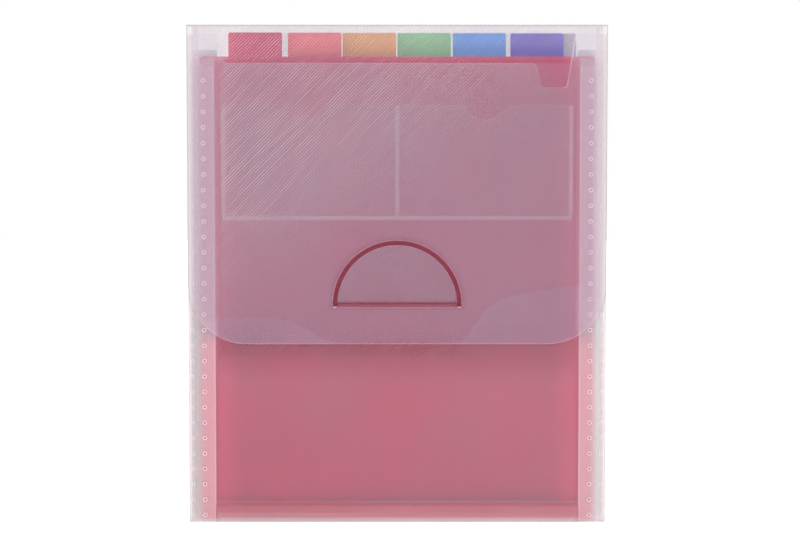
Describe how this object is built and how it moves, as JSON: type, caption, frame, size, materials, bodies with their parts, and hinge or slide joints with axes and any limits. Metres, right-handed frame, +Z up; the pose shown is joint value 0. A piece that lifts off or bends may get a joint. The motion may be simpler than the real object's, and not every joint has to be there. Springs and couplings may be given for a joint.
{
  "type": "accordion file folder",
  "caption": "Upright accordion file folder of frosted sheet plastic with coloured tabbed dividers, pleated side gussets, card pockets and a flap closed by a tucked half-round tongue.",
  "frame": {"origin": "on the ground, in the middle of the footprint of the closed file", "axes": "+Z up, +X to the right as seen from the front, front towards -Y"},
  "size_m": [0.268, 0.0366, 0.32],
  "materials": {
    "frosted_cover": "satin",
    "clear_pocket": "satin",
    "frosted_gusset": "satin",
    "red_sheet": "satin",
    "salmon_sheet": "satin",
    "orange_sheet": "satin",
    "green_sheet": "satin",
    "blue_sheet": "satin",
    "violet_sheet": "satin"
  },
  "bodies": {
    "back": {"back_panel": "frosted_cover", "base_panel": "frosted_cover", "rear_pocket_sheet": "clear_pocket", "gusset_left_7": "frosted_gusset", "gusset_right_7": "frosted_gusset"},
    "spine": {"spine_panel": "frosted_cover"},
    "flap": {"flap": "frosted_cover"},
    "tongue": {"closure_tongue": "frosted_cover"},
    "front": {"front_panel": "frosted_cover", "card_pocket": "clear_pocket"},
    "red_leaf": {"red_divider": "red_sheet", "gusset_left_1": "frosted_gusset", "gusset_right_1": "frosted_gusset"},
    "salmon_leaf": {"salmon_divider": "salmon_sheet", "gusset_left_2": "frosted_gusset", "gusset_right_2": "frosted_gusset"},
    "orange_leaf": {"orange_divider": "orange_sheet", "gusset_left_3": "frosted_gusset", "gusset_right_3": "frosted_gusset"},
    "green_leaf": {"green_divider": "green_sheet", "gusset_left_4": "frosted_gusset", "gusset_right_4": "frosted_gusset"},
    "blue_leaf": {"blue_divider": "blue_sheet", "gusset_left_5": "frosted_gusset", "gusset_right_5": "frosted_gusset"},
    "violet_leaf": {"violet_divider": "violet_sheet", "gusset_left_6": "frosted_gusset", "gusset_right_6": "frosted_gusset"}
  },
  "joints": [
    {"name": "spine_fold", "type": "hinge", "parent": "back", "child": "spine", "pos_m": [0, 0.0181, 0.31975], "axis": [-1, 0, 0], "range_deg": [0, 180]},
    {"name": "flap_fold", "type": "hinge", "parent": "spine", "child": "flap", "pos_m": [0, -0.0181, 0.31975], "axis": [-1, 0, 0], "range_deg": [0, 180]},
    {"name": "tongue_flex", "type": "hinge", "parent": "flap", "child": "tongue", "pos_m": [0, -0.0181, 0.1395], "axis": [-1, 0, 0], "range_deg": [0, 4], "stiffness_Nm_per_rad": 0.003},
    {"name": "front_open", "type": "hinge", "parent": "back", "child": "front", "pos_m": [0, -0.0164, 0.00035], "axis": [1, 0, 0], "range_deg": [0, 7.7], "deforming": ["gusset_left_1", "gusset_right_1"]},
    {"name": "red_divider_open", "type": "hinge", "parent": "back", "child": "red_leaf", "pos_m": [0, -0.0114, 0.00515], "axis": [1, 0, 0], "range_deg": [0, 6.6], "deforming": ["gusset_left_2", "gusset_right_2"]},
    {"name": "salmon_divider_open", "type": "hinge", "parent": "back", "child": "salmon_leaf", "pos_m": [0, -0.0065, 0.00515], "axis": [1, 0, 0], "range_deg": [0, 5.5], "deforming": ["gusset_left_3", "gusset_right_3"]},
    {"name": "orange_divider_open", "type": "hinge", "parent": "back", "child": "orange_leaf", "pos_m": [0, -0.0016, 0.00515], "axis": [1, 0, 0], "range_deg": [0, 4.4], "deforming": ["gusset_left_4", "gusset_right_4"]},
    {"name": "green_divider_open", "type": "hinge", "parent": "back", "child": "green_leaf", "pos_m": [0, 0.0033, 0.00515], "axis": [1, 0, 0], "range_deg": [0, 3.3], "deforming": ["gusset_left_5", "gusset_right_5"]},
    {"name": "blue_divider_open", "type": "hinge", "parent": "back", "child": "blue_leaf", "pos_m": [0, 0.0082, 0.00515], "axis": [1, 0, 0], "range_deg": [0, 2.2], "deforming": ["gusset_left_6", "gusset_right_6"]},
    {"name": "violet_divider_open", "type": "hinge", "parent": "back", "child": "violet_leaf", "pos_m": [0, 0.0131, 0.00515], "axis": [1, 0, 0], "range_deg": [0, 1.1], "deforming": ["gusset_left_7", "gusset_right_7"]}
  ],
  "couplings": [
    {"joint": "front_open", "follows": "spine_fold", "ratio": 0.042778},
    {"joint": "red_divider_open", "follows": "spine_fold", "ratio": 0.036667},
    {"joint": "salmon_divider_open", "follows": "spine_fold", "ratio": 0.030556},
    {"joint": "orange_divider_open", "follows": "spine_fold", "ratio": 0.024444},
    {"joint": "green_divider_open", "follows": "spine_fold", "ratio": 0.018333},
    {"joint": "blue_divider_open", "follows": "spine_fold", "ratio": 0.012222},
    {"joint": "violet_divider_open", "follows": "spine_fold", "ratio": 0.006111}
  ]
}
